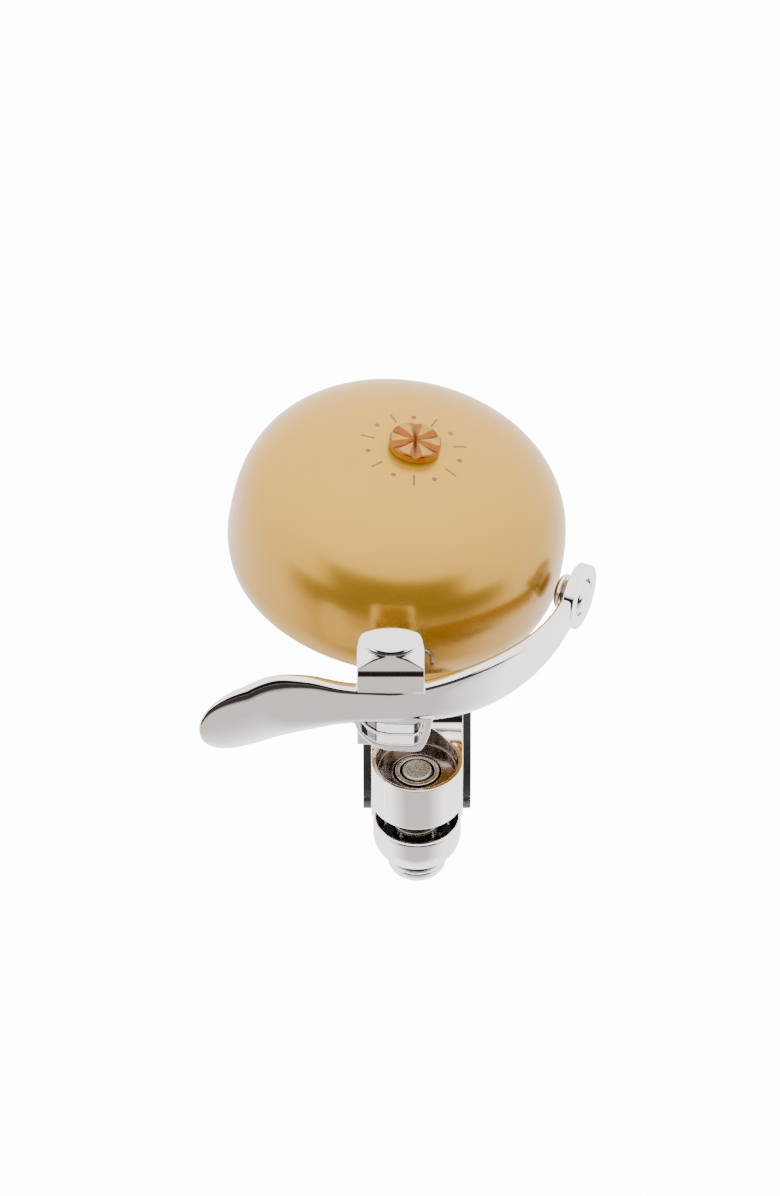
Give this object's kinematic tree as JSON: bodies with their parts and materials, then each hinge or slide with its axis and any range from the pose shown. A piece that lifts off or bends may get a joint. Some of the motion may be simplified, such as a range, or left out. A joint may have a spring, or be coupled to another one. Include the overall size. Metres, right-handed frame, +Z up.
{
  "type": "bicycle bell",
  "caption": "Bicycle bell with a leaning brass dome, a sprung thumb lever carrying a plunger hammer, and a hinged handlebar clamp drawn up by a bolt.",
  "frame": {"origin": "the flat right side of the clamp, 14.2 mm above the handlebar's axis and in its plane; the middle of the handlebar bore is at x -7.45 mm, y 0, z -14.2 mm", "axes": "+X along the handlebar towards the hammer end of the lever, +Y to the back of the bell, +Z up from the handlebar to the dome"},
  "size_m": [0.0641, 0.0688, 0.0643],
  "materials": {
    "brass": "polished and lacquered",
    "copper": "copper-toned, satin",
    "chrome": "mirror chrome plate",
    "steel": "zinc-plated",
    "spring": "drawn spring wire",
    "bronze": "sintered, matt",
    "rubber": "moulded, matt",
    "nylon": "moulded",
    "fibre": "pressed fibre"
  },
  "bodies": {
    "base": {"base_bracket": "chrome", "base_screw_front": "steel", "base_screw_rear": "steel", "dome": "brass", "dome_screw": "copper", "dome_washer": "fibre", "dome_post": "steel", "post_nut": "steel", "post_washer": "steel", "pivot_bushing": "bronze", "clamp_upper": "chrome", "liner_upper": "rubber", "hinge_pin": "steel", "clamp_nut": "steel", "gap_spring": "spring"},
    "lever": {"lever": "chrome", "pivot_pin": "steel", "pivot_washer": "nylon", "torsion_spring": "spring"},
    "hammer": {"striker": "chrome", "striker_cap": "chrome", "striker_spring": "spring"},
    "clamp_jaw": {"clamp_lower": "chrome", "liner_lower": "rubber"},
    "bolt_carrier": {"bolt_washer": "steel"},
    "bolt": {"clamp_bolt": "chrome"}
  },
  "joints": [
    {"name": "lever_pivot", "type": "hinge", "parent": "base", "child": "lever", "pos_m": [-0.01175, -0.0144, 0.0073], "axis": [0, 0, -1], "range_deg": [-1.6, 18], "stiffness_Nm_per_rad": 0.05},
    {"name": "hammer_slide", "type": "slide", "parent": "lever", "child": "hammer", "axis": [0.9184, -0.3955, 0], "range_m": [0, 0.0004], "stiffness_N_per_m": 500},
    {"name": "clamp_hinge", "type": "hinge", "parent": "base", "child": "clamp_jaw", "pos_m": [-0.00745, 0.0149, -0.0142], "axis": [-1, 0, 0], "range_deg": [-3.5, 1]},
    {"name": "bolt_travel", "type": "slide", "parent": "base", "child": "bolt_carrier", "axis": [0, 0, 1], "range_m": [-0.0021, 0.0007]},
    {"name": "bolt_turn", "type": "hinge", "parent": "bolt_carrier", "child": "bolt", "pos_m": [-0.00745, -0.0172, -0.0142], "axis": [0, 0, 1], "range_deg": [-900, 300]}
  ],
  "couplings": [
    {"joint": "bolt_travel", "follows": "clamp_hinge", "m_per_rad": 0.0321},
    {"joint": "bolt_turn", "follows": "clamp_hinge", "ratio": 252.1}
  ]
}
